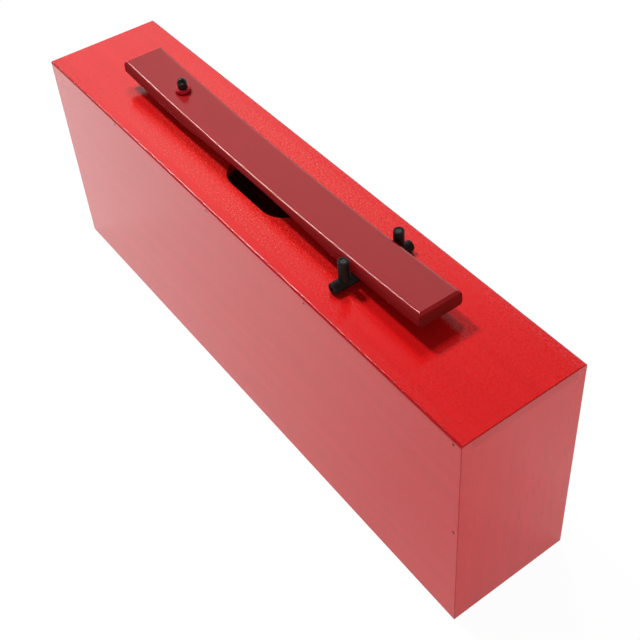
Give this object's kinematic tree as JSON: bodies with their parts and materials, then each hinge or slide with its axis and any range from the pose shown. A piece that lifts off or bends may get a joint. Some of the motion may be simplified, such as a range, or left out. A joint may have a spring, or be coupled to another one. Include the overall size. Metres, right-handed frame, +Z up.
{
  "type": "bass chime bar",
  "caption": "Tuned metal bar on rubber supports over a tall wooden resonator box, with a sound hole under the bar and a pull-off cap that holds the bar on its pin.",
  "frame": {"origin": "middle of the box's underside, on the surface that the box stands on", "axes": "+X along the bar, toward the end with the two guide posts; +Y across the box; +Z up"},
  "size_m": [0.52, 0.1, 0.2195],
  "materials": {
    "lacquered_wood": "glossy red lacquer over filled wood grain",
    "bar_lacquer": "smooth dark red lacquer",
    "collar_plastic": "satin dark red",
    "cap_plastic": "gloss black",
    "support_rubber": "matte black",
    "pin_steel": "dull grey",
    "brad_steel": "dark, sunk below the lacquer"
  },
  "bodies": {
    "resonator": {"top_panel": "lacquered_wood", "bottom_panel": "lacquered_wood", "front_side_panel": "lacquered_wood", "back_side_panel": "lacquered_wood", "left_end_panel": "lacquered_wood", "right_end_panel": "lacquered_wood", "bar_cushion": "support_rubber", "cross_tube": "support_rubber", "front_post_sleeve": "support_rubber", "back_post_sleeve": "support_rubber", "bar_pin": "pin_steel", "front_post_pin": "pin_steel", "back_post_pin": "pin_steel", "front_top_brad_1": "brad_steel", "front_top_brad_2": "brad_steel", "front_top_brad_3": "brad_steel", "front_top_brad_4": "brad_steel", "front_end_brad": "brad_steel", "back_top_brad_1": "brad_steel", "back_top_brad_2": "brad_steel", "back_top_brad_3": "brad_steel", "back_top_brad_4": "brad_steel", "back_end_brad": "brad_steel"},
    "bar": {"tone_bar": "bar_lacquer", "bar_grommet": "collar_plastic"},
    "cap": {"pin_cap": "cap_plastic"}
  },
  "joints": [
    {"name": "tone_bar_lift", "type": "slide", "parent": "resonator", "child": "bar", "axis": [0, 0, 1], "range_m": [0, 0.03]},
    {"name": "cap_pull", "type": "slide", "parent": "bar", "child": "cap", "axis": [0, 0, 1], "range_m": [0, 0.01]}
  ]
}
